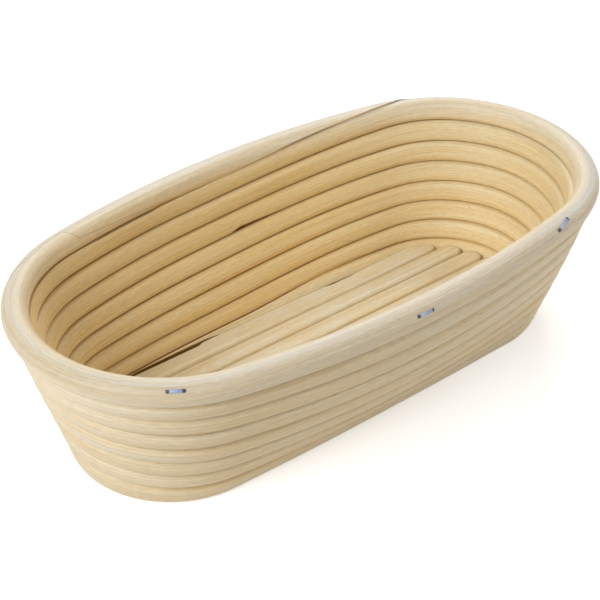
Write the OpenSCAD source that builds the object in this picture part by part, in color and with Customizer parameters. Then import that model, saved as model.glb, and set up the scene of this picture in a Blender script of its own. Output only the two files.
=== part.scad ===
// Oval proofing basket: rattan cane coiled in a climbing spiral from the foot to the rim,
// round a floor of straight canes, held by wire nails, pins and staples.
// Millimetres, Z up, origin on the table under the middle of the floor, X along the basket.

/* [Wall] */
// Outside length over the rim
rim_length = 300; // [280:1:330]
// Outside width over the rim
rim_width = 158; // [150:1:170]
// How far the long sides bow out past the round ends at the rim
rim_side_bow = 8.5; // [5:0.5:14]
// Outside length over the lowest turn
foot_length = 253; // [240:1:265]
// Outside width over the lowest turn
foot_width = 96; // [93:0.5:104]
// How far the long sides bow out past the round ends at the lowest turn
foot_side_bow = 1.6; // [1.2:0.1:6]
// How strongly the long sides of the wall belly out, 1 for straight
side_belly = 1.55; // [1:0.05:1.6]
// How strongly the rounded corners of the wall belly out, 1 for straight
corner_belly = 1.15; // [1:0.05:1.2]
// How far the turns at half height sag along the long sides
side_sag = 1.7; // [0:0.1:2]
// Turns of cane from the foot to the rim
turns = 8; // [7:1:9]

/* [Cane] */
// Diameter of the wall cane
cane_d = 9.8; // [9:0.1:10.6]
// Diameter that the cane grows to at the rim
rim_d = 10.9; // [10:0.1:12]
// Gap between one turn and the next
turn_gap = 0.55; // [0.5:0.05:0.8]
// Depth of the flat on which the lowest turn stands
foot_flat = 0.5; // [0.2:0.1:1]
// Share of a turn after which the cane starts to climb, counted from the left end
climb_from_share = 0.16; // [0.14:0.01:0.2]
// Share of a turn after which the climb is over
climb_to_share = 0.41; // [0.38:0.01:0.45]

/* [Slanted joints] */
// Thickness at which a shaved end stops
feather = 1; // [0.8:0.1:2]
// Length over which two canes are shaved to lie on each other
scarf_length = 46; // [35:1:55]
// Gap between the two shaved faces
scarf_gap = 0.3; // [0.1:0.05:0.5]
// Turn in which the wall cane is joined
wall_joint_turn = 5; // [3:1:6]
// Share of that turn at which the wall joint ends
wall_joint_share = 0.25; // [0.23:0.01:0.3]
// Share of a turn at which the rim joint ends
rim_joint_share = 0.19; // [0.19:0.005:0.22]

/* [Floor] */
// Number of straight floor canes
floor_canes = 7; // [5:1:9]
// Height of a floor cane
floor_height = 9; // [7:0.5:10]
// Radius of the crowned top of a floor cane
floor_crown = 8; // [7:0.5:12]
// Gap between two floor canes
floor_gap = 0.2; // [0.1:0.05:0.5]
// Gap at mid length between the outer floor canes and the lowest turn
floor_side_gap = 0.8; // [0.5:0.1:3]
// Gap between the ends of the floor canes and the lowest turn
floor_end_gap = 0.3; // [0.2:0.1:1]

/* [Floor pins] */
// Diameter of a floor pin
pin_d = 1.6; // [1:0.1:2.5]
// Distance of each pin from the middle of the floor
pin_offset = 55; // [30:1:70]
// Height of the pins above the table
pin_height = 4.4; // [3:0.1:5]

/* [Turn nails] */
// Diameter of a nail
nail_d = 1.4; // [1:0.1:2]
// Diameter of a nail head
nail_head_d = 2.6; // [2.2:0.1:3.5]
// Thickness of a nail head
nail_head_t = 0.6; // [0.4:0.1:1]
// Length of a nail, head and point included
nail_length = 14; // [11:0.5:15]
// Length of a nail's point
nail_point = 2; // [1:0.5:3]
// Depth of a nail head below the surface of the cane
nail_sink = 0.5; // [0.2:0.1:1]
// Share of a turn from one nail to the next
nail_share = 0.16; // [0.12:0.01:0.22]

/* [Rim staples] */
// Length of a staple's crown
staple_crown = 9.6; // [8:0.1:12]
// Width of the flat staple wire
staple_wire_w = 1.3; // [1:0.1:2]
// Thickness of the flat staple wire
staple_wire_t = 0.7; // [0.5:0.1:1]
// Length of a staple's legs
staple_leg = 12; // [8:0.5:14]
// Angle up the outer face of the rim at which the staples are driven
staple_angle = 34; // [20:1:45]
// Clearance round pins, nails and staples
fit_gap = 0.05; // [0.02:0.01:0.1]

/* [Hidden] */
$fn = 32;

// Cane radii, and the half length, half width and end radius of the cane's centre line
cane_r = cane_d / 2;
rim_r = rim_d / 2;
foot_oval = [foot_length / 2, foot_width / 2, foot_width / 2 - foot_side_bow] - [1, 1, 1] * cane_r;
rim_oval = [rim_length / 2, rim_width / 2, rim_width / 2 - rim_side_bow] - [1, 1, 1] * rim_r;

// Outward lean of one turn over the turn below it where the wall is steepest, and the rise that clears it
lean = min(rim_oval.x - foot_oval.x, rim_oval.y - foot_oval.y) / (turns - 1);
rise = sqrt((cane_d + turn_gap) ^ 2 - lean ^ 2);

// Sides of the cane's section, and its rings on half a round end and on a long side
sides = 10;
end_rings = 6;
side_rings = 6;
flat_angle = 180 / sides;
scarf_rings = 6;

// Shares of a turn where the round ends and the long sides meet
quarter = 1 / 4;
back_from = 1 / 8;
right_from = back_from + quarter;
front_from = right_from + quarter;
left_from = front_from + quarter;

// Oval of the centre line at a level, counted in turns from 1 at the foot
function wall_share(level) = (level - 1) / (turns - 1);
function bellied(level, belly) = 1 - (1 - wall_share(level)) ^ belly;
function oval_at(level) =
    let (
        along = wall_share(level),
        across = bellied(level, side_belly),
        round_ends = bellied(level, corner_belly),
        grown = rim_oval - foot_oval
    )
    foot_oval + [grown.x * along, grown.y * across, grown.z * round_ends];

// Radius of an oval's long sides, and the half angle of its round ends
function side_radius(oval) =
    ((oval.x - oval.z) ^ 2 + oval.y ^ 2 - oval.z ^ 2) / (2 * (oval.y - oval.z));
function end_angle(oval) = atan2(side_radius(oval) - oval.y, oval.x - oval.z);

// Point on a circle, with the direction that faces outwards there
function on_circle(middle, radius, angle) =
    [middle.x + radius * cos(angle), middle.y + radius * sin(angle), angle];

// Point of an oval at a share of its turn: left end, back, right end, front, left end
function oval_point(oval, share) =
    let (
        big = side_radius(oval),
        turned = end_angle(oval),
        swept = 180 - 2 * turned,
        end_middle = oval.x - oval.z
    )
    share < back_from ? on_circle([-end_middle, 0], oval.z, 180 - turned * share / back_from)
    : share < right_from ? on_circle([0, oval.y - big], big,
        180 - turned - swept * (share - back_from) / quarter)
    : share < front_from ? on_circle([end_middle, 0], oval.z,
        turned - 2 * turned * (share - right_from) / quarter)
    : share < left_from ? on_circle([0, big - oval.y], big,
        -turned - swept * (share - front_from) / quarter)
    : on_circle([-end_middle, 0], oval.z, 180 + turned * (1 - share) / back_from);

// Half width of an oval's long side at a distance from its middle
function side_y(oval, x) =
    let (big = side_radius(oval))
    oval.y - big + sqrt(big ^ 2 - x ^ 2);

// Smooth step from 0 to 1, and its inverse
function ease(t) = t <= 0 ? 0 : t >= 1 ? 1 : t * t * (3 - 2 * t);
function ease_inverse(y) = 0.5 - sin(asin(1 - 2 * y) / 3);

// Path of the winding: turn is the number of turns wound so far
function share_of(turn) = turn - floor(turn);
climb_span = climb_to_share - climb_from_share;
function climbed(turn) = ease((share_of(turn) - climb_from_share) / climb_span);
function level_of(turn) = min(max(floor(turn) + climbed(turn), 1), turns);
function rim_growth(level) = (rim_r - cane_r) * max(level - turns + 1, 0);
function radius_of(turn) = cane_r + rim_growth(level_of(turn));
function sag_of(level, facing) = side_sag * sin(180 * wall_share(level)) * sin(facing) ^ 2;
function height_of(level, facing) =
    cane_r - foot_flat + rise * (level - 1) + rim_growth(level) - sag_of(level, facing);
function plan_of(turn) = oval_point(oval_at(level_of(turn)), share_of(turn));
function centre_of(turn) =
    let (plan = plan_of(turn))
    [plan.x, plan.y, height_of(level_of(turn), plan.z)];

// Outward and upward distance from a turn's level to the next one, at the same share of a turn
function step_of(level, share) =
    let (
        here = oval_point(oval_at(level), share),
        next = oval_point(oval_at(level + 1), share),
        out = (next.x - here.x) * cos(here.z) + (next.y - here.y) * sin(here.z)
    )
    [out, height_of(level + 1, next.z) - height_of(level, here.z)];

// Turn at which the first wedge and the last wedge have worn down to the feather thickness
first_step = norm(step_of(1, climb_from_share));
last_step = norm(step_of(turns - 1, climb_to_share));
start_turn = climb_from_share + climb_span * ease_inverse((feather + turn_gap) / first_step);
end_turn = turns + climb_from_share + climb_span * ease_inverse(1 - (feather + turn_gap) / last_step);

// Turns at which the slanted joints start and end
function scarf_share(level) =
    let (oval = oval_at(level))
    quarter * scarf_length / (side_radius(oval) * (180 - 2 * end_angle(oval)) * PI / 180);
wall_joint_end = wall_joint_turn + wall_joint_share;
wall_joint_start = wall_joint_end - scarf_share(wall_joint_turn);
rim_joint_end = turns + rim_joint_share;
rim_joint_start = rim_joint_end - scarf_share(turns);

// Highest and lowest part of the section that a cane keeps, measured from its centre towards the next turn
function below_second_turn(turn) =
    turn >= 1 ? cane_r : climbed(turn) * norm(step_of(1, share_of(turn))) - cane_r - turn_gap;
function above_last_climb(turn) =
    (climbed(turn) - 1) * norm(step_of(turns - 1, share_of(turn)))
        + radius_of(turn - 1) + turn_gap;
function scarf_plane(turn, from, to) =
    radius_of(turn) * (1 - 2 * (turn - from) / (to - from));

function lower_keeps(turn) = [
    -cane_r,
    min(below_second_turn(turn), scarf_plane(turn, wall_joint_start, wall_joint_end) - scarf_gap / 2)
];
function upper_keeps(turn) = [
    scarf_plane(turn, wall_joint_start, wall_joint_end) + scarf_gap / 2,
    scarf_plane(turn, rim_joint_start, rim_joint_end) - scarf_gap / 2
];
function tail_keeps(turn) = [
    max(above_last_climb(turn), scarf_plane(turn, rim_joint_start, rim_joint_end) + scarf_gap / 2),
    rim_r
];

// Half angle of the flat that a cut at a distance from the centre leaves on a round section
function flat_of(cut, radius) = max(flat_angle, acos(min(max(cut / radius, -1), 1)));

// Angles of a section's corners from the direction of the next turn, with one flat on top or below
function corner_angles(keeps, radius) =
    let (
        top = flat_of(keeps[1], radius),
        below = flat_of(-keeps[0], radius),
        on_top = top > below,
        flat = on_top ? top : below
    )
    [for (i = [0 : sides - 1])
        on_top ? flat + (360 - 2 * flat) * i / (sides - 1)
        : 180 + flat + (360 - 2 * flat) * ((i + sides / 2) % sides) / (sides - 1)];

// Corners of the cane's section at a turn
function ring_of(turn, keeps) =
    let (
        level = level_of(turn),
        radius = radius_of(turn),
        middle = centre_of(turn),
        facing = plan_of(turn).z,
        step = step_of(min(level, turns - 1), share_of(turn)),
        up = step / norm(step),
        outwards = [cos(facing), sin(facing), 0]
    )
    [for (angle = corner_angles(keeps, radius))
        let (q = radius * cos(angle), p = radius * sin(angle))
        middle + outwards * (q * up.x + p * up.y) + [0, 0, q * up.y - p * up.x]];

// Shares of a turn at which every turn has a ring
ring_shares = concat(
    [for (i = [0 : end_rings - 1]) back_from * i / end_rings],
    [for (i = [0 : side_rings - 1]) back_from + quarter * i / side_rings],
    [for (i = [0 : 2 * end_rings - 1]) right_from + back_from * i / end_rings],
    [for (i = [0 : side_rings - 1]) front_from + quarter * i / side_rings],
    [for (i = [0 : end_rings - 1]) left_from + back_from * i / end_rings]
);
ring_turns = [for (turn = [0 : turns]) for (share = ring_shares) turn + share];

// Rings of a cane from one turn to another, closer together in the slanted joints at its ends
ring_clear = 0.004;
function stretch(from, to) = [for (i = [0 : scarf_rings]) from + (to - from) * i / scarf_rings];
function rings_between(from, to) =
    [for (turn = ring_turns) if (turn > from + ring_clear && turn < to - ring_clear) turn];

// Where the two shaved faces of a joint have the feather thickness left
function scarf_tip(from, to, radius) =
    to - (to - from) * (feather + scarf_gap / 2) / (2 * radius);
function scarf_heel(from, to, radius) =
    from + (to - from) * (feather + scarf_gap / 2) / (2 * radius);

wall_tip = scarf_tip(wall_joint_start, wall_joint_end, cane_r);
wall_heel = scarf_heel(wall_joint_start, wall_joint_end, cane_r);
rim_tip = scarf_tip(rim_joint_start, rim_joint_end, rim_r);
rim_heel = scarf_heel(rim_joint_start, rim_joint_end, rim_r);

lower_turns = concat(
    [start_turn], rings_between(start_turn, wall_joint_start),
    stretch(wall_joint_start, wall_tip)
);
upper_turns = concat(
    stretch(wall_heel, wall_joint_end),
    rings_between(wall_joint_end, rim_joint_start), stretch(rim_joint_start, rim_tip)
);
tail_turns = concat(
    stretch(rim_heel, rim_joint_end), rings_between(rim_joint_end, end_turn), [end_turn]
);

// Least gap between a turn of the winding and the turn above it, measured from centre to centre
turn_gaps = [
    for (turn = ring_turns) if (turn >= 1 + climb_to_share && turn <= turns)
        norm(centre_of(turn) - centre_of(turn - 1)) - radius_of(turn) - radius_of(turn - 1)
];
echo(least_gap_between_turns = min(turn_gaps));

// Closed tube of triangles through rings of corners
module tube(rings) {
    last = len(rings) - 1;
    walls = [
        for (k = [0 : last - 1]) for (i = [0 : sides - 1])
            let (a = k * sides + i, b = k * sides + (i + 1) % sides)
            each [[a, b, b + sides], [a, b + sides, a + sides]]
    ];
    first_cap = [for (i = [1 : sides - 2]) [0, i + 1, i]];
    last_cap = [for (i = [1 : sides - 2]) [0, i, i + 1] + [1, 1, 1] * last * sides];
    polyhedron([for (ring = rings) each ring], concat(walls, first_cap, last_cap));
}

// Puts a shape that runs up Z on the line from one point to another
module along(from, to) {
    run = to - from;
    translate(from) rotate([0, acos(run.z / norm(run)), atan2(run.y, run.x)]) children();
}

// Nail places: each nail goes through one turn and into the turn below it
first_nail = 1 + climb_to_share + nail_share / 4;
last_nail = turns - 1 + climb_to_share;
nail_turns = [first_nail : nail_share : last_nail];

module nail(gap) {
    head_room = gap > 0 ? cane_d : 0;
    translate([0, 0, -head_room]) cylinder(d = nail_head_d + 2 * gap, h = nail_head_t + head_room);
    cylinder(d = nail_d + 2 * gap, h = nail_length - nail_point);
    translate([0, 0, nail_length - nail_point])
        cylinder(d1 = nail_d + 2 * gap, d2 = 2 * gap, h = nail_point);
}

module nails(gap, from, to) {
    for (turn = nail_turns) if (turn > from && turn < to) {
        here = centre_of(turn);
        below = centre_of(turn - 1);
        down = (below - here) / norm(below - here);
        along(here - down * (radius_of(turn) - nail_sink), below) nail(gap);
    }
}

// Shares of a turn at which the rim is stapled, from the left end round the back
staple_shares = [0.06, 0.18, 0.3, 0.42, 0.53, 0.638, 0.76, 0.912];

module staple(gap) {
    for (side = [-1, 1])
        translate([side * (staple_crown - staple_wire_t) / 2, 0, -staple_leg / 2])
            cube([staple_wire_t + 2 * gap, staple_wire_w + 2 * gap, staple_leg + 2 * gap], center = true);
    cube([staple_crown + 2 * gap, staple_wire_w + 2 * gap, staple_wire_t + 2 * gap], center = true);
}

module staples(gap) {
    for (share = staple_shares) {
        facing = oval_point(rim_oval, share);
        step = step_of(turns - 1, share);
        entry = rim_r * [cos(staple_angle), sin(staple_angle)];
        leg = entry + step;
        middle = [facing.x, facing.y, height_of(turns, facing.z)];
        translate(middle + [entry.x * cos(facing.z), entry.x * sin(facing.z), entry.y])
            rotate([0, 0, facing.z - 90]) rotate([-atan2(leg.x, leg.y), 0, 0]) staple(gap);
    }
}

// Pins across the floor, from the middle of the lowest turn on one side to the middle on the other
pin_half = side_y(foot_oval, pin_offset);

module pins(gap) {
    for (side = [-1, 1])
        translate([side * pin_offset, 0, pin_height])
            rotate([90, 0, 0]) cylinder(d = pin_d + 2 * gap, h = 2 * (pin_half + gap), center = true);
}

// Space below the table, which the lowest turn is cut flat on
module below_table() {
    translate([-rim_length, -rim_length, -cane_d]) cube([2 * rim_length, 2 * rim_length, cane_d]);
}

module wall_cane_lower() {
    color("burlywood") difference() {
        tube([for (turn = lower_turns) ring_of(turn, lower_keeps(turn))]);
        below_table();
        pins(fit_gap);
        nails(fit_gap, start_turn, wall_joint_end + 1);
    }
}

module wall_cane_upper() {
    color("wheat") difference() {
        tube([for (turn = upper_turns) ring_of(turn, upper_keeps(turn))]);
        nails(fit_gap, wall_joint_start, turns);
        staples(fit_gap);
    }
}

module rim_tail() {
    color("moccasin") difference() {
        tube([for (turn = tail_turns) ring_of(turn, tail_keeps(turn))]);
        staples(fit_gap);
    }
}

// Floor canes fill the width inside the lowest turn
floor_oval = foot_oval - [1, 1, 1] * (cane_r + floor_end_gap);
floor_half = foot_oval.y - cane_r - floor_side_gap;
floor_width = (2 * floor_half - (floor_canes - 1) * floor_gap) / floor_canes;

module floor_section() {
    intersection() {
        translate([-floor_width / 2, 0]) square([floor_width, floor_height]);
        translate([0, floor_height - floor_crown]) circle(floor_crown);
    }
}

module floor_cane(number) {
    place = (number - (floor_canes + 1) / 2) * (floor_width + floor_gap);
    color("navajowhite") difference() {
        intersection() {
            translate([0, place, 0]) rotate([90, 0, 90])
                linear_extrude(foot_length, center = true) floor_section();
            linear_extrude(floor_height)
                polygon([for (share = ring_shares) let (p = oval_point(floor_oval, share)) [p.x, p.y]]);
        }
        pins(fit_gap);
    }
}

module floor_pins() {
    color("silver") pins(0);
}

module turn_nails() {
    color("silver") nails(0, 0, turns);
}

module rim_staples() {
    color("cornflowerblue") staples(0);
}

wall_cane_lower();
wall_cane_upper();
rim_tail();
for (number = [1 : floor_canes])
    floor_cane(number);
floor_pins();
turn_nails();
rim_staples();
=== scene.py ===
import math

import bmesh
import bpy
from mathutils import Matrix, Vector


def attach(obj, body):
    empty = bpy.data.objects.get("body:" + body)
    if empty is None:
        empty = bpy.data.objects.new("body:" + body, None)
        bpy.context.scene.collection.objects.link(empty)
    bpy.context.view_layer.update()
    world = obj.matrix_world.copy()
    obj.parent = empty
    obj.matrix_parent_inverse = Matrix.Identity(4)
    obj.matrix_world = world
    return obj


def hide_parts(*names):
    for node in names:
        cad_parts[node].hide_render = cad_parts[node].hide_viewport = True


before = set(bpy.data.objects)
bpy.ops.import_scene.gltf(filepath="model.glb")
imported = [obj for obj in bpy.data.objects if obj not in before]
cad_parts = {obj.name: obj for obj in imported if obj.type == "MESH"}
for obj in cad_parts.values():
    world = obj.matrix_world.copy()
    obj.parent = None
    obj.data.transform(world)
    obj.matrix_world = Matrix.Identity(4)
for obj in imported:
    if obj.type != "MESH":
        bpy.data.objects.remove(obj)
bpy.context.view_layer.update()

# Driving sizes of the winding, in metres
TURNS = 8
CANE_R = 0.0052
RIM_R = 0.0056
RIM_HALF_UP = 0.0052
RISE = 0.009683
FOOT_HEIGHT = 0.0062

# Levels count the turns up the wall. The lowest turn reaches from the table up to its groove
BOTTOM_LEVEL = 1 - FOOT_HEIGHT / RISE
FIRST_TOP = 1.5
FIRST_LEVEL = (BOTTOM_LEVEL + FIRST_TOP) / 2

# Turn up to which the winding's start is cut from a whole section
START_END = 0.5

# Half length, half width and end radius of the cane's centre line, and how the wall swells between them
FOOT_OVAL = Vector((0.1230, 0.0436, 0.0419))
RIM_OVAL = Vector((0.1437, 0.0727, 0.0642))
SIDE_BELLY = 1.57
CORNER_BELLY = 1.17
SIDE_SAG = 0.0017
RIM_OVERHANG = 0.0009

# Shares of a turn where the round ends and the long sides meet, from the middle of the left end
QUARTER = 0.25
BACK = 0.125
RIGHT = BACK + QUARTER
FRONT = RIGHT + QUARTER
LEFT = FRONT + QUARTER

# Climb of a groove: the part done early, and the shares where its early and late parts start and end
FOOT_CLIMB = (0.69, 0.02, 0.14, 0.23, 0.345)
LOW_CLIMB = (0.45, -0.2, 0.15, 0.2, 0.42)
HIGH_CLIMB = (0.2, -0.2, 0.08, 0.22, 0.43)

# Climb of the groove under the rim's tail, with a little of it done earlier and a dip at the rim joint
RIM_CLIMB = (0.235, 0.394)
RIM_CLIMB_POWER = 1.2
RIM_EARLY = (-0.1, 0.08)
RIM_EARLY_PART = 0.04
RIM_DIP = 0.09
RIM_DIP_DOWN = (0.13, 0.18)
RIM_DIP_UP = (0.188, 0.2)

# How square the sections are, 2 for a circle, and where the wall's grow flatter and rounder again
WALL_POWER = 2.9
FLAT_POWER = 1.5
FLATTENING = (0.36, 0.46)
ROUNDING = (0.76, 0.88)
RIM_POWER = 2.2

# Turns over which the cane grows to the rim
RIM_GROWTH = (TURNS - 0.8, TURNS - 0.55)

# Natural swelling of the cane: size, pace and start of each wave
SWELLS = ((0.010, 5.1, 0.0), (0.009, 13.7, 1.3))

# The start of the winding is shaved off towards the floor canes, with a nick where a slit opens
SHAVE_FACING = math.radians(-145)
SHAVE_DISTANCES = (0.0012, 0.0023)
SHAVE_TURNS = (0.14, 0.2)
SHAVE_END = 0.28
NICK = 0.0041
NICK_TURNS = (0.308, 0.338)
NICK_END = 0.005

# Turns at which the winding starts and ends, and the slanted joint in the wall with its notch
START_TURN = 0.035
END_TURN = 8.403
WALL_JOINT = (5.17, 5.2487)
WALL_JOINT_SLANT = math.radians(75)
WALL_NOTCH = 0.001
NOTCH_FACING = math.radians(-152)
NOTCH_OPENING = (5.2485, 5.2565)
NOTCH_CLOSING = (5.257, 5.29)
JOINT_TIP = 0.0005
JOINT_GAP = 0.00002
FEATHER = 0.00008

# The rim joint: its slant from straight up towards the outside, its ends, and its cut in rim radii
RIM_JOINT_SLANT = math.radians(45)
RIM_JOINT_START = 8.078
RIM_JOINT_END = 8.196
RIM_JOINT_GAP = 0.00006
RIM_JOINT_CUT = ((8.075, 1.0), (8.1, 0.45), (8.128, 0.45), (8.134, -0.6), (8.16, -0.82), (8.2, -1.0))

# How much deeper the rim's underside sits, and the turns over which that ends before the joint
RIM_SEAT = 0.06
RIM_SEAT_END = (7.97, RIM_JOINT_START)

# The rim's tail lies on the last climb with a cut that tilts, runs out at the tip and gapes in its middle
TAIL_SLANT = math.radians(40)
TAIL_TILTING = (0.2, 0.32)
TAIL_TIP = (0.388, 0.405)
CRACK = 0.0005
CRACK_TURN = 8.318
CRACK_REACH = 0.04

# Straight canes of the floor
FLOOR_CANES = 7
FLOOR_MIDDLE = 4
FLOOR_SHIFT = 0.0009
FLOOR_PITCH = 0.01045
FRONT_PITCH = 0.0108
FLOOR_HALF = 0.0053
FLOOR_TOP = 0.0101
FLOOR_BOTTOM = 0.0002
FLOOR_POWER = 3.8

# Room for the floor inside the lowest turn, and how much of a cane's place counts for its length
FLOOR_ROUND_AT = 0.0788
FLOOR_ROUND_R = 0.0396
FLOOR_NARROWING = 0.0014
FLOOR_REACH_PART = 0.93

# Rounded ends of the floor canes
FLOOR_TONGUE = 0.006
FLOOR_END_POWER = 2.4
FLOOR_TIP_PART = 0.12
FLOOR_DROOP = 0.0012
FLOOR_DROOP_POWER = 3

# Outer side of the back floor cane along the basket, with a long gap at the left and a slit at the right
FLOOR_BACK_EDGE = (
    (-0.077, 0.0382), (-0.06, 0.038), (-0.0395, 0.038), (-0.0375, 0.0391), (-0.012, 0.0391), (0.036, 0.0379),
    (0.037, 0.0379), (0.041, 0.0369), (0.053, 0.0369), (0.062, 0.0379), (FLOOR_ROUND_AT, 0.0379))

# Staples in the rim: share of the turn, degrees up the outer face, length of the crown and degrees of tilt
STAPLES = (
    (0.1, -5, 0.0096, 0), (0.2, 15, 0.0096, 0), (0.3, 15, 0.0096, 0), (0.42, 15, 0.0096, 0),
    (0.51, 5, 0.0096, 0), (0.6388, 44, 0.0094, 13), (0.76, 21, 0.0088, 0), (0.911, 40, 0.0072, 0))
STAPLE_BEND = 0.0006
STAPLE_LEG = 0.001
STAPLE_HALF_WIDTH = 0.00075
STAPLE_HALF_THICK = 0.00035
STAPLE_POWER = 2.6
STAPLE_PROUD = 0.00012

# Fineness of the meshes, how close corners become one, and the angle of a sharp edge
SIDES = 40
RINGS_PER_TURN = 260
TAIL_RINGS_PER_TURN = 2 * RINGS_PER_TURN
JOINT_RINGS_PER_TURN = 1400
FLOOR_RINGS = 130
TIP_RINGS = 16
STAPLE_SIDES = 16
STAPLE_STEPS = 6
SAME_PLACE = 1e-7
SHARP = math.radians(35)

# Length of a mean turn for the grain, and what keeps the grain of one cane apart from the next
MEAN_TURN = 0.7
TAIL_GRAIN = 13.0
FLOOR_GRAIN = 2.3

# Directions in a section, from its top towards the outside
UP = 0.0
OUT = math.pi / 2

# Colours and roughness of the cane
# Inside tones: the deeper gold is painted bounce light, and the lit colour is painted lamp light for the lit
# end
INSIDE = (0.78, 0.605, 0.308)
INSIDE_LIT = (0.81, 0.685, 0.425)
INSIDE_FOOT = (0.84, 0.72, 0.46)
# Outside tones: painted bounce light from the floor low down, painted shade under the rim high up
OUTSIDE_LOW_BOUNCE_LIT = (0.765, 0.635, 0.41)
OUTSIDE_HIGH_SHADED = (0.69, 0.585, 0.4)
OUTSIDE_LEFT = (0.75, 0.665, 0.5)
# Rim tones: the top's whiteness and its whitening along the rim are a painted reflection, and the outer side
# is painted darker as shade
RIM_EDGE = ((0.81, 0.695, 0.485), (0.82, 0.73, 0.555))
RIM_TOP_WITH_REFLECTION = ((0.72, 0.665, 0.56), (0.735, 0.69, 0.62))
RIM_OUTSIDE_SHADED = (0.665, 0.588, 0.455)
# Painted brown shade for the grooves, and a painted light for the lowest groove at the back
GROOVE_SHADE = (0.56, 0.37, 0.12)
GROOVE_PAINTED_LIGHT = (0.97, 0.85, 0.58)
# Painted shade for the slit beside the floor
SLIT_SHADE = (0.62, 0.4, 0.15)
FLOOR_PATCHES = ((0.88, 0.815, 0.64), (0.87, 0.768, 0.545))
# Painted shade for the sides of the floor canes
FLOOR_SIDE_SHADE = (0.8, 0.71, 0.55)
CANE_DARK = (0.94, 0.82, 0.6)
FIBRE_DARK = (0.78, 0.72, 0.62)
SPECK_DARK = (0.45, 0.32, 0.2)
CANE_ROUGHNESS = 0.55

# Places where the colours change: where a change starts and where it is full, in metres
LIT_END = (0.03, 0.12)
LEFT_END = (-0.095, -0.135)
# Where the rim's painted reflection grows along the rim
ALONG_RIM_REFLECTION = (-0.06, 0.02)
BEFORE_LIT_END = (0.075, 0.055)
AT_BACK = (0.034, 0.036)
UP_WALL = (0.0, 0.06)
UP_TO_RIM = (0.0685, 0.0765)
BELOW_TOP = (0.0755, 0.073)
LOW_TURNS = (0.018, 0.014)
FOOT = (0.012, 0.0105)

# The same round a cane's section, from -1 at its inner side to 1 at its outer side
WALL_OUTWARDS = (-0.75, 0.6)
RIM_UPWARDS = (-0.8, -0.1)
RIM_OUTWARDS = (0.15, 0.8)
GROOVE_OUTWARDS = (-0.2, 0.3)
FLOOR_SIDEWAYS = (0.6, 0.85)
INNER_HALF = (0.0, -0.3)

# Painted groove shade: where turns come close, and how strong it stays outside and at the lit end
TURNS_CLOSE = (0.82, 1.0)
OUTSIDE_GROOVES = 0.3
LIT_GROOVES = 0.05

# Upward part of the normal of a face that looks down, the cane's shine, and the painted shade at which the
# shine is gone
FACING_DOWN = (-0.3, -0.4)
SHINE = 0.5
NO_SHINE_AT = 0.6

# Marks on the cane: stretch, scale and detail of a pattern, where it starts and is full, strength and tint
CANE_MARKS = {
    "drift": (9.0, 1.1, 2.0, 0.38, 0.68, 0.5, CANE_DARK),
    "streaks": (2.6, 3.4, 3.0, 0.45, 0.75, 0.5, CANE_DARK),
    "fibres": (1.6, 9.0, 3.0, 0.4, 0.7, 0.55, FIBRE_DARK),
    "specks": (90.0, 4.2, 1.0, 0.77, 0.83, 0.6, SPECK_DARK),
}
GRAIN_STRETCH = 22.0
GRAIN_PATTERN = (11.0, 2.0)
GRAIN_RANGE = (0.3, 0.7)
GRAIN_TONES = (0.92, 1.08)
FIBRE_BUMP = 0.25
FIBRE_DEPTH = 0.0003
PATCH_PATTERN = (60.0, 2.0)
PATCH_RANGE = (0.4, 0.65)

# Wires of the staples, the pins and the nails
WIRE_ROUGHNESS = 0.35
LACQUER = ((0.28, 0.32, 0.5), (0.5, 0.56, 0.72))
LACQUER_PATTERN = (4.0, 3.0)
LACQUER_RANGE = (0.38, 0.62)
# Painted shade at the staple ends where the wire goes into the cane
STAPLE_HOLE_SHADE = (0.05, 0.055, 0.06)
STAPLE_ENDS = (0.11, 0.14)
STEEL = ((0.52, 0.52, 0.53), (0.7, 0.7, 0.71))
SCRATCH_PATTERN = (900.0, 2.0)

# Studio: size and shade of the floor, its own light where it is seen, and the world's light
STAGE_SIZE = 6
STAGE_SHADE = (0.88, 0.88, 0.88, 1)
STAGE_ROUGHNESS = 0.9
STAGE_SEEN = 0.42
WHITE = (1, 1, 1, 1)
WORLD_LIGHT = 0.25

# Lamps: their size and aim, and the name, place and power of each
LAMP_SIZE = 1.0
LAMP_AIM = Vector((0, 0, 0))
LAMPS = (
    ("key", (-1.5, -0.2, 1.1), 23.3),
    ("fill", (1.2, -1.0, 1.0), 7.8),
    ("back_fill", (1.0, 1.1, 1.2), 16.5))

# Camera
CAMERA_AT = Vector((-0.4139, -0.4875, 0.4794))
CAMERA_AIM = Vector((-0.00743, 0.00247, 0.03925))
CAMERA_LENS = 102.47
CAMERA_SENSOR = 36

# Places of the colour sockets on a Mix node
MIX_FACTOR = 0
MIX_FIRST = 6
MIX_SECOND = 7
MIX_RESULT = 2


def clamp(t):
    return min(max(t, 0.0), 1.0)


def ease(t):
    t = clamp(t)
    return t * t * (3 - 2 * t)


def mix(a, b, t):
    return a + (b - a) * t


def ramp(value, start, end):
    return clamp((value - start) / (end - start))


def height_of(profile, value):
    """Height of a profile of straight lines, level before its first point and running on past its last."""
    if value < profile[0][0]:
        return profile[0][1]
    for (start, low), (end, high) in zip(profile, profile[1:]):
        if value < end:
            break
    return mix(low, high, (value - start) / (end - start))


# Plan of the basket

def oval_at(level):
    left = 1 - (level - 1) / (TURNS - 1)
    grown = RIM_OVAL - FOOT_OVAL
    return FOOT_OVAL + Vector((
        grown.x * (1 - left),
        grown.y * (1 - left ** SIDE_BELLY),
        grown.z * (1 - left ** CORNER_BELLY)))


def on_circle(x, y, radius, angle):
    return Vector((x + radius * math.cos(angle), y + radius * math.sin(angle), 0)), angle


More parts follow.
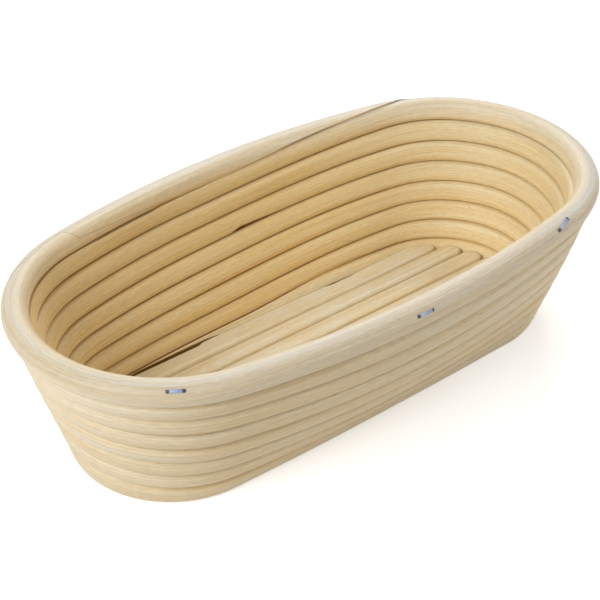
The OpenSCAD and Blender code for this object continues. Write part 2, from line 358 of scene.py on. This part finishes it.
def oval_point(oval, share):
    """Point of an oval at a share of its turn, and the angle that faces outwards there."""
    middle = oval.x - oval.z
    big = (middle ** 2 + oval.y ** 2 - oval.z ** 2) / (2 * (oval.y - oval.z))
    end = math.atan2(big - oval.y, middle)
    swept = math.pi - 2 * end
    if share < BACK:
        return on_circle(-middle, 0, oval.z, math.pi - end * share / BACK)
    if share < RIGHT:
        return on_circle(0, oval.y - big, big, math.pi - end - swept * (share - BACK) / QUARTER)
    if share < FRONT:
        return on_circle(middle, 0, oval.z, end - 2 * end * (share - RIGHT) / QUARTER)
    if share < LEFT:
        return on_circle(0, big - oval.y, big, -end - swept * (share - FRONT) / QUARTER)
    return on_circle(-middle, 0, oval.z, math.pi + end * (1 - share) / BACK)


def facing_outwards(facing):
    return Vector((math.cos(facing), math.sin(facing), 0))


def wall_point(level, share):
    """Point of the wall's middle surface, and the angle that faces outwards there."""
    above_foot = max(level, 1)
    point, facing = oval_point(oval_at(above_foot), share)
    sag = SIDE_SAG * math.sin(math.pi * (above_foot - 1) / (TURNS - 1)) * math.sin(facing) ** 2
    point += facing_outwards(facing) * RIM_OVERHANG * max(level - TURNS + 1, 0)
    point.z = FOOT_HEIGHT + RISE * (level - 1) - sag
    return point, facing


# Path of the winding

def climb_plan(number):
    """Part of a groove's climb that is done early, and where its early and its late part start and end."""
    if number == 0:
        return FOOT_CLIMB
    t = (number - 1) / (TURNS - 3)
    return [mix(low, high, t) for low, high in zip(LOW_CLIMB, HIGH_CLIMB)]


def rim_climbed(share):
    """How much of its climb the groove under the rim's tail has done."""
    late = 1 - (1 - ramp(share, *RIM_CLIMB)) ** RIM_CLIMB_POWER
    early = ease(ramp(share, *RIM_EARLY))
    dip = RIM_DIP * ease(ramp(share, *RIM_DIP_DOWN)) * (1 - ramp(share, *RIM_DIP_UP))
    return mix(late, early, RIM_EARLY_PART) - dip


def climbed(number, share):
    """How much of its climb to the next level a groove has done, from 0 to 1."""
    if number == TURNS - 1:
        return rim_climbed(share)
    early_part, early_start, early_end, late_start, late_end = climb_plan(number)
    early = ease(ramp(share, early_start, early_end))
    late = ease(ramp(share, late_start, late_end))
    return mix(late, early, early_part)


def groove_above(turn):
    """Level of the groove between a turn and the turn above it."""
    first = mix(BOTTOM_LEVEL, FIRST_TOP, climbed(0, turn))
    return first + sum(climbed(number, turn - number) for number in range(1, TURNS))


def cane_levels(turn):
    """Levels of the cane's centre, of the groove below it and of the groove above it."""
    below = groove_above(turn - 1)
    above = groove_above(turn)
    if turn < START_END:
        return FIRST_LEVEL, below, above
    if turn >= TURNS:
        return TURNS, below, above
    if turn > TURNS - 1:
        return min(below + 0.5, TURNS), below, above
    return (below + above) / 2, below, above


def rim_share(turn):
    """How far the cane has become the rim, from 0 to 1."""
    return ease(ramp(turn, *RIM_GROWTH))


def wall_power(share):
    """How square the wall cane is: flatter round the right end and along the front."""
    return WALL_POWER + FLAT_POWER * (ease(ramp(share, *FLATTENING)) - ease(ramp(share, *ROUNDING)))


def radius_of(turn):
    swell = sum(size * math.sin(pace * turn + start) for size, pace, start in SWELLS)
    return mix(CANE_R, RIM_R, rim_share(turn)) * (1 + swell)


# Cuts across a section: the direction that a cut faces, and how far from the centre it lies

def wall_joint_plane(turn):
    """How far the slanted cut of the wall joint lies from the cane's centre."""
    return CANE_R * (1 - 2 * (turn - WALL_JOINT[0]) / (WALL_JOINT[1] - WALL_JOINT[0]))


def rim_joint_plane(turn):
    """The rim's tail starts as a thin tongue, then has a blunt step, then takes over the whole cane."""
    return RIM_R * height_of(RIM_JOINT_CUT, turn)


def tail_plane(share):
    """Slant of the cut under the rim's tail, and its distance from the middle of the rim."""
    slant = TAIL_SLANT * ramp(share, *TAIL_TILTING)
    crossing = math.acos(2 * clamp(climbed(TURNS - 1, share)) - 1) - TAIL_SLANT * ramp(share, *TAIL_TIP)
    return slant, RIM_R * math.cos(min(crossing + slant, math.pi))


def tail_crack(share):
    """How far the rim's tail gapes over the cane under it."""
    return CRACK * ease(1 - abs(share + TURNS - CRACK_TURN) / CRACK_REACH)


def joint_notch(turn):
    """How far the upper cane is cut away underneath, just past the tip of the lower cane."""
    return WALL_NOTCH * ramp(turn, *NOTCH_OPENING) * (1 - ramp(turn, *NOTCH_CLOSING))


def shave_distance(turn):
    """How far the shaved flat lies from the cane's centre. It leaves the cane where the cane is whole."""
    nick = NICK * ramp(turn - NICK_TURNS[0], -NICK_END, 0) * ramp(NICK_TURNS[1] - turn, -NICK_END, 0)
    shaved = mix(*SHAVE_DISTANCES, ramp(turn, *SHAVE_TURNS))
    return shaved + CANE_R * ramp(turn, SHAVE_TURNS[1], SHAVE_END) - nick


def lower_cuts(turn, level, above, spacing):
    cuts = [(WALL_JOINT_SLANT, wall_joint_plane(turn) - JOINT_GAP)]
    if turn < START_END:
        cuts.append((UP, (above - level) * spacing))
        cuts.append((SHAVE_FACING, shave_distance(turn)))
    return cuts


def upper_cuts(turn, level, above, spacing):
    cuts = [
        (WALL_JOINT_SLANT + math.pi, -wall_joint_plane(turn) - JOINT_GAP),
        (RIM_JOINT_SLANT, rim_joint_plane(turn) - RIM_JOINT_GAP),
    ]
    notch = joint_notch(turn)
    if notch > 0:
        corner = rounded(CANE_R, (above - level) * spacing, WALL_POWER, NOTCH_FACING)
        cuts.append((NOTCH_FACING, corner.length - notch))
    share = turn - TURNS + 1
    if 0 < share < END_TURN - TURNS:
        slant, distance = tail_plane(share)
        cuts.append((slant, distance + (TURNS - level) * spacing * math.cos(slant) - JOINT_GAP))
    return cuts


def tail_cuts(turn, level, above, spacing):
    slant, distance = tail_plane(turn - TURNS)
    return [
        (RIM_JOINT_SLANT + math.pi, -rim_joint_plane(turn) - RIM_JOINT_GAP),
        (slant + math.pi, -distance - tail_crack(turn - TURNS) - JOINT_GAP),
    ]


# Sections of the canes

def rounded(half_out, half_up, power, angle):
    """Point of a rounded section at an angle from the top towards the outside."""
    out, up = math.sin(angle), math.cos(angle)
    reach = (abs(out) ** power + abs(up) ** power) ** (-1 / power)
    return Vector((half_out * out * reach, half_up * up * reach))


def section(half_out, half_up, top_power, bottom_power, cuts):
    """Corners of a rounded section, from the top outwards, with flats where it is cut."""
    def corner_at(angle):
        return rounded(half_out, half_up, top_power if math.cos(angle) > 0 else bottom_power, angle)

    corners = [corner_at(2 * math.pi * k / SIDES) for k in range(SIDES)]
    for facing, limit in cuts:
        normal = Vector((math.sin(facing), math.cos(facing)))
        pole = corner_at(facing + math.pi)
        depth = max(limit - pole.dot(normal), FEATHER)
        reaches = [(corner - pole).dot(normal) for corner in corners]
        corners = [cut_corner(corners, reaches, depth, pole, k) for k in range(SIDES)]
    return corners


def cut_corner(corners, reaches, depth, pole, k):
    """A corner of a section as it is, on the edge to an uncut neighbour, or on the flat towards the pole."""
    if reaches[k] <= depth:
        return corners[k]
    for beside in (k - 1, (k + 1) % SIDES):
        if reaches[beside] <= depth:
            part = (depth - reaches[beside]) / (reaches[k] - reaches[beside])
            return corners[beside].lerp(corners[k], part)
    return pole.lerp(corners[k], depth / reaches[k])


def wall_run(level, share, outwards):
    """How far the wall goes outwards and upwards from one level to the next."""
    higher, lower = min(level + 0.5, TURNS), max(level - 0.5, 1)
    run = (wall_point(higher, share)[0] - wall_point(lower, share)[0]) / (higher - lower)
    return Vector((run.dot(outwards), run.z))


def half_height(turn, below, above, spacing):
    """Half the height of the cane's section, measured up the wall."""
    if turn < START_END:
        half = spacing * (FIRST_LEVEL - BOTTOM_LEVEL)
    elif turn <= TURNS - 1:
        half = spacing * (above - below) / 2
    else:
        half = spacing / 2
    return mix(half, RIM_HALF_UP, rim_share(turn))


def cane_ring(turn, cuts_of):
    """Corners of a cane's section in place."""
    level, below, above = cane_levels(turn)
    share = turn % 1
    middle, facing = wall_point(level, share)
    outwards = facing_outwards(facing)
    run = wall_run(level, share, outwards)
    spacing = run.length
    lean = run.normalized()
    power = wall_power(share)
    top_power = mix(power, RIM_POWER, rim_share(turn))
    seat = RIM_SEAT * rim_share(turn) * (1 - ramp(turn, *RIM_SEAT_END))
    cuts = cuts_of(turn, level, above, spacing)
    ring = []
    for corner in section(radius_of(turn), half_height(turn, below, above, spacing), top_power, power, cuts):
        corner.y += seat * min(corner.y, 0)
        place = middle + outwards * (corner.y * lean.x + corner.x * lean.y)
        place.z = max(place.z + corner.y * lean.y - corner.x * lean.x, 0)
        ring.append(place)
    return ring


# Mesh helpers

def add_tube(mesh, rings, lengths):
    """A sheet of squares, a row for each ring, rolled up into a tube with its lengths in its UV map."""
    count = len(rings[0])
    sheet = bmesh.ops.create_grid(mesh, x_segments=len(rings) - 1, y_segments=count, size=1)["verts"]
    cell = {}
    for vert in sheet:
        row = round((vert.co.x + 1) / 2 * (len(rings) - 1))
        column = round((vert.co.y + 1) / 2 * count)
        cell[vert] = (lengths[row], column / count)
        vert.co = rings[row][column % count]
    uv = mesh.loops.layers.uv.verify()
    for face in {face for vert in sheet for face in vert.link_faces}:
        face.smooth = True
        for loop in face.loops:
            loop[uv].uv = cell[loop.vert]


def roll_tubes(name, tubes, lengths, material):
    """One piece of closed tubes, each through its own rings."""
    mesh = bmesh.new()
    mesh.loops.layers.uv.new("UVMap")
    for rings in tubes:
        add_tube(mesh, rings, lengths)
    bmesh.ops.remove_doubles(mesh, verts=mesh.verts, dist=SAME_PLACE)
    ends = [edge for edge in mesh.edges if edge.is_boundary]
    bmesh.ops.holes_fill(mesh, edges=ends, sides=0)
    bmesh.ops.recalc_face_normals(mesh, faces=mesh.faces)
    for edge in mesh.edges:
        edge.smooth = edge.calc_face_angle(0) < SHARP
    piece = add_object(name, mesh, material)
    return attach(piece, "root")


def add_object(name, mesh, material):
    data = bpy.data.meshes.new(name)
    mesh.to_mesh(data)
    mesh.free()
    data.materials.append(material)
    piece = bpy.data.objects.new(name, data)
    bpy.context.scene.collection.objects.link(piece)
    return piece


def turns_between(start, end, rings_per_turn=RINGS_PER_TURN):
    """Turns at which a cane has its rings."""
    count = max(round((end - start) * rings_per_turn), 2)
    return [mix(start, end, i / count) for i in range(count + 1)]


# Materials

class Nodes:
    """Small helper that adds nodes to one material or world."""

    def __init__(self, owner):
        owner.use_nodes = True
        self.owner = owner
        self.nodes = owner.node_tree.nodes
        self.links = owner.node_tree.links

    def feed(self, socket, value):
        """Set a socket to a number or a colour, or link it to an output."""
        if isinstance(value, tuple):
            socket.default_value = (*value, 1)
        elif isinstance(value, (int, float)):
            socket.default_value = value
        else:
            self.links.new(value, socket)

    def math(self, operation, a, b=0.0):
        node = self.nodes.new("ShaderNodeMath")
        node.operation = operation
        self.feed(node.inputs[0], a)
        self.feed(node.inputs[1], b)
        return node.outputs["Value"]

    def product(self, first, *others):
        for other in others:
            first = self.math("MULTIPLY", first, other)
        return first

    def noise(self, vector, scale, detail):
        node = self.nodes.new("ShaderNodeTexNoise")
        node.inputs["Scale"].default_value = scale
        node.inputs["Detail"].default_value = detail
        self.links.new(vector, node.inputs["Vector"])
        return node.outputs["Fac"]

    def remap(self, value, low, high, to_low, to_high):
        node = self.nodes.new("ShaderNodeMapRange")
        self.links.new(value, node.inputs["Value"])
        node.inputs["From Min"].default_value = low
        node.inputs["From Max"].default_value = high
        node.inputs["To Min"].default_value = to_low
        node.inputs["To Max"].default_value = to_high
        return node.outputs["Result"]

    def fade(self, value, start, full):
        """From 0 where a change starts to 1 where it is full."""
        return self.remap(value, start, full, 0.0, 1.0)

    def blend(self, kind, factor, a, b):
        node = self.nodes.new("ShaderNodeMix")
        node.data_type = "RGBA"
        node.blend_type = kind
        self.feed(node.inputs[MIX_FACTOR], factor)
        self.feed(node.inputs[MIX_FIRST], a)
        self.feed(node.inputs[MIX_SECOND], b)
        return node.outputs[MIX_RESULT]

    def between(self, factor, a, b):
        return self.blend("MIX", factor, a, b)

    def tinted(self, factor, colour, tint):
        return self.blend("MULTIPLY", factor, colour, tint)

    def object_place(self):
        return self.nodes.new("ShaderNodeTexCoord").outputs["Object"]

    def map_place(self):
        node = self.nodes.new("ShaderNodeUVMap")
        node.uv_map = "UVMap"
        return node.outputs["UV"]

    def split(self, vector):
        """The X, Y and Z parts of a vector."""
        node = self.nodes.new("ShaderNodeSeparateXYZ")
        self.links.new(vector, node.inputs["Vector"])
        return node.outputs


class Finish(Nodes):
    """Nodes of one material with its shader."""

    def __init__(self, name, roughness):
        super().__init__(bpy.data.materials.new(name))
        self.shader = self.nodes["Principled BSDF"]
        self.shader.inputs["Roughness"].default_value = roughness

    def colour_with(self, colour):
        self.links.new(colour, self.shader.inputs["Base Color"])


def cane_finish(name, tones):
    """Peeled cane with fibres along its length. Tones adds the nodes for its colour, with its painted light
    and shade.
    """
    finish = Finish(name, CANE_ROUGHNESS)
    place = finish.split(finish.map_place())
    angle = finish.math("MULTIPLY", place["Y"], 2 * math.pi)
    across = finish.math("SINE", angle)
    upwards = finish.math("COSINE", angle)

    def along_cane(stretch):
        vector = finish.nodes.new("ShaderNodeCombineXYZ")
        finish.links.new(finish.math("MULTIPLY", place["X"], stretch), vector.inputs["X"])
        finish.links.new(across, vector.inputs["Y"])
        finish.links.new(upwards, vector.inputs["Z"])
        return vector.outputs["Vector"]

    colour = tones(finish, across, upwards)
    patterns = {}
    for mark, (stretch, scale, detail, start, full, strength, tint) in CANE_MARKS.items():
        patterns[mark] = finish.noise(along_cane(stretch), scale, detail)
        colour = finish.tinted(finish.remap(patterns[mark], start, full, 0.0, strength), colour, tint)
    grain = finish.noise(along_cane(GRAIN_STRETCH), *GRAIN_PATTERN)
    finish.colour_with(finish.tinted(1.0, colour, finish.remap(grain, *GRAIN_RANGE, *GRAIN_TONES)))

    bump = finish.nodes.new("ShaderNodeBump")
    bump.inputs["Strength"].default_value = FIBRE_BUMP
    bump.inputs["Distance"].default_value = FIBRE_DEPTH
    finish.links.new(patterns["fibres"], bump.inputs["Height"])
    finish.links.new(bump.outputs["Normal"], finish.shader.inputs["Normal"])
    return finish.owner


def wall_tones(finish, across, x, z, back_foot):
    """Golden inside, the gold deepened as painted bounce light and paled at the lit end as painted lamp
    light; paler at the back foot; duller outside, painted darker high up as shade under the rim and lighter
    low down as bounce from the floor.
    """
    # Painted lamp light pales the inside towards the lit end
    above_foot = finish.between(finish.fade(x, *LIT_END), INSIDE, INSIDE_LIT)
    inside = finish.between(back_foot, above_foot, INSIDE_FOOT)
    # Painted shade darkens the outside up the wall, painted bounce light lifts it low down
    sides = finish.between(finish.fade(z, *UP_WALL), OUTSIDE_LOW_BOUNCE_LIT, OUTSIDE_HIGH_SHADED)
    outside = finish.between(finish.fade(x, *LEFT_END), sides, OUTSIDE_LEFT)
    return finish.between(finish.fade(across, *WALL_OUTWARDS), inside, outside)


def rim_tones(finish, across, x):
    """Rim cane with a painted reflection that whitens its top, and whitens it more away from the left end;
    golden on its inner edge like the inside wall, and painted darker on its outer side as shade.
    """
    # Painted reflection whitens the rim more away from the left end
    rim_reflection = finish.fade(x, *ALONG_RIM_REFLECTION)
    edge = finish.between(rim_reflection, *RIM_EDGE)
    top = finish.between(rim_reflection, *RIM_TOP_WITH_REFLECTION)
    inside = finish.between(finish.fade(across, *RIM_UPWARDS), edge, top)
    return finish.between(finish.fade(across, *RIM_OUTWARDS), inside, RIM_OUTSIDE_SHADED)


def groove_shade_and_light(finish, colour, groove_shade, x, low_back):
    """Painted brown shade where the turns touch, weaker at the lit end, and a painted light that turns the
    lowest groove at the back pale.
    """
    at_lit_end = finish.remap(x, *LIT_END, 1.0, LIT_GROOVES)
    elsewhere = finish.math("SUBTRACT", 1.0, low_back)
    groove_shaded = finish.tinted(finish.product(groove_shade, at_lit_end, elsewhere), colour, GROOVE_SHADE)
    return finish.between(finish.product(groove_shade, low_back), groove_shaded, GROOVE_PAINTED_LIGHT)


def wound_tones(finish, across, upwards):
    """Tones of the wall and the rim, with painted shade in the grooves and in the slit beside the floor."""
    x, y, z = finish.split(finish.object_place())
    at_back = finish.fade(y, *AT_BACK)
    back_foot = finish.product(finish.fade(z, *FOOT), at_back)
    low_back = finish.product(finish.fade(z, *LOW_TURNS), finish.fade(x, *BEFORE_LIT_END), at_back)
    wall = wall_tones(finish, across, x, z, back_foot)
    whole = finish.between(finish.fade(z, *UP_TO_RIM), wall, rim_tones(finish, across, x))

    # Painted shade in the grooves where the turns touch, weaker outside and gone at the top of the rim
    close = finish.fade(finish.math("ABSOLUTE", upwards), *TURNS_CLOSE)
    inner = finish.remap(across, *GROOVE_OUTWARDS, 1.0, OUTSIDE_GROOVES)
    groove_shade = finish.product(close, inner, finish.fade(z, *BELOW_TOP))
    joined = groove_shade_and_light(finish, whole, groove_shade, x, low_back)

    surface = finish.nodes.new("ShaderNodeNewGeometry")
    normal = finish.split(surface.outputs["True Normal"])
    underneath = finish.fade(normal["Z"], *FACING_DOWN)
    # Painted shade on faces that look down into the slit at the back foot
    slit_shade = finish.product(underneath, finish.fade(across, *INNER_HALF), back_foot)
    shaded = finish.math("MAXIMUM", groove_shade, slit_shade)
    shine = finish.remap(shaded, 0.0, NO_SHINE_AT, SHINE, 0.0)
    finish.links.new(shine, finish.shader.inputs["Specular IOR Level"])
    return finish.tinted(slit_shade, joined, SLIT_SHADE)


def floor_tones(finish, across, upwards):
    """Pale patches on top, and sides painted darker as shade between the floor canes."""
    patches = finish.noise(finish.object_place(), *PATCH_PATTERN)
    clean = finish.between(finish.fade(patches, *PATCH_RANGE), *FLOOR_PATCHES)
    # Painted shade darkens the sides where the floor canes meet
    side = finish.fade(finish.math("ABSOLUTE", across), *FLOOR_SIDEWAYS)
    return finish.tinted(side, clean, FLOOR_SIDE_SHADE)


def staple_wire_finish():
    """Pale blue lacquered wire, with painted shade where it goes into the cane."""
    finish = Finish("blue_lacquered_wire", WIRE_ROUGHNESS)
    place = finish.map_place()
    along_wire = finish.split(place)["X"]
    from_middle = finish.math("ABSOLUTE", finish.math("SUBTRACT", along_wire, 0.5))
    wear = finish.noise(place, *LACQUER_PATTERN)
    lacquer = finish.between(finish.fade(wear, *LACQUER_RANGE), *LACQUER)
    # Painted shade darkens the wire's ends
    finish.colour_with(finish.between(finish.fade(from_middle, *STAPLE_ENDS), lacquer, STAPLE_HOLE_SHADE))
    return finish.owner


def steel_wire_finish():
    """Bright drawn wire with fine scratches."""
    finish = Finish("drawn_steel_wire", WIRE_ROUGHNESS)
    finish.shader.inputs["Metallic"].default_value = 1.0
    scratches = finish.noise(finish.object_place(), *SCRATCH_PATTERN)
    finish.colour_with(finish.between(scratches, *STEEL))
    return finish.owner


wall_finish = cane_finish("peeled_wall_cane", wound_tones)
floor_finish = cane_finish("planed_floor_cane", floor_tones)
staple_finish = staple_wire_finish()
steel_finish = steel_wire_finish()


# The wound canes

def wound_cane(name, turns, cuts_of, shift, node):
    """A cane through its rings, with its grain shifted along it, in place of a solid."""
    rings = [cane_ring(turn, cuts_of) for turn in turns]
    piece = roll_tubes(name, [rings], [MEAN_TURN * turn + shift for turn in turns], wall_finish)
    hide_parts(node)


lower_turns = (
    turns_between(START_TURN, WALL_JOINT[0])
    + turns_between(WALL_JOINT[0], WALL_JOINT[1] - JOINT_TIP, JOINT_RINGS_PER_TURN)[1:])
rim_joint_turns = turns_between(RIM_JOINT_START, RIM_JOINT_END, JOINT_RINGS_PER_TURN)
upper_turns = (
    turns_between(WALL_JOINT[0] + JOINT_TIP, NOTCH_CLOSING[1], JOINT_RINGS_PER_TURN)
    + turns_between(NOTCH_CLOSING[1], RIM_JOINT_START)[1:]
    + rim_joint_turns[1:])
tail_turns = rim_joint_turns + turns_between(RIM_JOINT_END, END_TURN, TAIL_RINGS_PER_TURN)[1:]

wound_cane("wall_cane_lower_coil", lower_turns, lower_cuts, 0.0, "wall_cane_lower")
wound_cane("wall_cane_upper_coil", upper_turns, upper_cuts, 0.0, "wall_cane_upper")
wound_cane("rim_tail_cane", tail_turns, tail_cuts, TAIL_GRAIN, "rim_tail")


# The straight canes of the floor

def floor_room(x):
    """Half width of the room for the floor inside the lowest turn."""
    past = max(abs(x) - FLOOR_ROUND_AT, 0)
    narrowing = FLOOR_NARROWING * ramp(abs(x), 0, FLOOR_ROUND_AT)
    return math.sqrt(max(FLOOR_ROUND_R ** 2 - past ** 2, 0)) - narrowing


def floor_place(number):
    """Where a floor cane lies across the basket."""
    pitch = FLOOR_PITCH if number > FLOOR_MIDDLE else FRONT_PITCH
    return FLOOR_SHIFT + pitch * (number - FLOOR_MIDDLE)


def floor_ring(x, number, reach):
    """Corners of a floor cane's section, narrower at its rounded end and cut back to the floor's room."""
    place = floor_place(number)
    half = FLOOR_HALF
    if number == FLOOR_CANES:
        inner = place - half
        place = (height_of(FLOOR_BACK_EDGE, x) + inner) / 2
        half = place - inner
    left = max(reach - abs(x), 0)
    tongue = (1 - (1 - min(left / FLOOR_TONGUE, 1)) ** FLOOR_END_POWER) ** (1 / FLOOR_END_POWER)
    half_out = half * max(tongue, FLOOR_TIP_PART)
    half_up = (FLOOR_TOP - FLOOR_BOTTOM) / 2
    droop = FLOOR_DROOP * (1 - ramp(left, 0, FLOOR_TONGUE)) ** FLOOR_DROOP_POWER
    room = floor_room(x)
    cuts = [(OUT, room - place), (-OUT, room + place)]
    ring = []
    for corner in section(half_out, half_up, FLOOR_POWER, FLOOR_POWER, cuts):
        up = corner.y - droop * (corner.y > 0)
        ring.append(Vector((x, place + corner.x, max(FLOOR_BOTTOM + half_up + up, FLOOR_BOTTOM))))
    return ring


def floor_places(reach):
    """Places of a floor cane's rings, closer together at its ends."""
    straight = reach - FLOOR_TONGUE
    middle = [mix(-straight, straight, i / FLOOR_RINGS) for i in range(FLOOR_RINGS + 1)]
    tip = [FLOOR_TONGUE * (1 - (1 - i / TIP_RINGS) ** 2) for i in range(TIP_RINGS)]
    return [t - reach for t in tip] + middle + [reach - t for t in reversed(tip)]


for number in range(1, FLOOR_CANES + 1):
    offset = FLOOR_REACH_PART * floor_place(number)
    reach = FLOOR_ROUND_AT + math.sqrt(FLOOR_ROUND_R ** 2 - offset ** 2)
    places = floor_places(reach)
    rings = [floor_ring(x, number, reach) for x in places]
    lengths = [x + FLOOR_GRAIN * number for x in places]
    strip = roll_tubes(f"floor_cane_{number}_strip", [rings], lengths, floor_finish)
    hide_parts(f"floor_cane_{number}")


# The staples in the rim

def staple_path(crown):
    """Places along a staple's wire: along the rim, out of the rim, and the direction of the wire."""
    half = crown / 2
    bend = STAPLE_BEND
    leg = [(-half, -bend - STAPLE_LEG, math.pi / 2)]
    for i in range(STAPLE_STEPS + 1):
        angle = math.pi / 2 * (1 - i / STAPLE_STEPS)
        leg.append((-half + bend - bend * math.sin(angle), -bend + bend * math.cos(angle), angle))
    straight = half - bend
    middle = [(mix(-straight, straight, i / STAPLE_STEPS), 0, 0) for i in range(1, STAPLE_STEPS)]
    return leg + middle + [(-along, out, -angle) for along, out, angle in reversed(leg)]


def staple_rings(share, lift, crown, tilt):
    """Corners of a staple's wire where it sits on the rim's outer face."""
    middle, facing = wall_point(TURNS, share)
    level = Vector((-math.sin(facing), math.cos(facing), 0))
    normal = facing_outwards(facing) * math.cos(lift) + Vector((0, 0, math.sin(lift)))
    along = level * math.cos(tilt) + normal.cross(level) * math.sin(tilt)
    across = along.cross(normal)
    seat = middle + normal * (rounded(RIM_R, RIM_R, RIM_POWER, OUT - lift).length + STAPLE_PROUD)
    wire = [
        rounded(STAPLE_HALF_WIDTH, STAPLE_HALF_THICK, STAPLE_POWER, 2 * math.pi * k / STAPLE_SIDES)
        for k in range(STAPLE_SIDES)]
    rings = []
    for run, out, angle in staple_path(crown):
        thick = normal * math.cos(angle) - along * math.sin(angle)
        centre = seat + along * run + normal * out
        rings.append([centre + across * corner.x + thick * corner.y for corner in wire])
    return rings


wires = [
    staple_rings(share, math.radians(lift), crown, math.radians(tilt))
    for share, lift, crown, tilt in STAPLES]
wire_shares = [i / (len(wires[0]) - 1) for i in range(len(wires[0]))]
staples = roll_tubes("rim_staple_wires", wires, wire_shares, staple_finish)
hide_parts("rim_staples")

for node in ("floor_pins", "turn_nails"):
    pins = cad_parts[node].data
    pins.materials.clear()
    pins.materials.append(steel_finish)


# Stage

def seen_ray(finish):
    """1 for what the camera sees, also in a mirror or through glass, and 0 for what lights the basket."""
    path = finish.nodes.new("ShaderNodeLightPath")
    direct = finish.math("MAXIMUM", path.outputs["Is Camera Ray"], path.outputs["Is Glossy Ray"])
    return finish.math("MAXIMUM", direct, path.outputs["Is Transmission Ray"])


def pale_floor_finish():
    """Pale floor with some light of its own where it is seen, which keeps the basket's shadow faint."""
    finish = Finish("pale_floor", STAGE_ROUGHNESS)
    finish.shader.inputs["Base Color"].default_value = STAGE_SHADE
    finish.shader.inputs["Emission Color"].default_value = WHITE
    seen = finish.remap(seen_ray(finish), 0.0, 1.0, 0.0, STAGE_SEEN)
    finish.links.new(seen, finish.shader.inputs["Emission Strength"])
    return finish.owner


def make_floor():
    mesh = bmesh.new()
    bmesh.ops.create_grid(mesh, x_segments=1, y_segments=1, size=STAGE_SIZE)
    floor = add_object("floor", mesh, pale_floor_finish())


def make_backdrop():
    """A world that is white where it is seen, and lights the basket softly."""
    backdrop = Nodes(bpy.data.worlds.new("studio"))
    bpy.context.scene.world = backdrop.owner
    background = backdrop.nodes["Background"]
    background.inputs["Color"].default_value = WHITE
    strength = backdrop.remap(seen_ray(backdrop), 0.0, 1.0, WORLD_LIGHT, 1.0)
    backdrop.links.new(strength, background.inputs["Strength"])


def aim(thing, place, target):
    """Put a lamp or a camera at a place, looking at a target."""
    thing.location = place
    thing.rotation_mode = "QUATERNION"
    thing.rotation_quaternion = (target - place).to_track_quat("-Z", "Y")


def soft_light(name, place, power):
    data = bpy.data.lights.new(name, "AREA")
    data.energy = power
    data.size = LAMP_SIZE
    light = bpy.data.objects.new(name, data)
    bpy.context.scene.collection.objects.link(light)
    aim(light, Vector(place), LAMP_AIM)


def make_camera():
    data = bpy.data.cameras.new("camera")
    data.lens = CAMERA_LENS
    data.sensor_width = CAMERA_SENSOR
    camera = bpy.data.objects.new("camera", data)
    bpy.context.scene.collection.objects.link(camera)
    aim(camera, CAMERA_AT, CAMERA_AIM)
    bpy.context.scene.camera = camera


make_floor()
make_backdrop()
for lamp in LAMPS:
    soft_light(*lamp)
make_camera()
bpy.context.scene.view_settings.view_transform = "Standard"
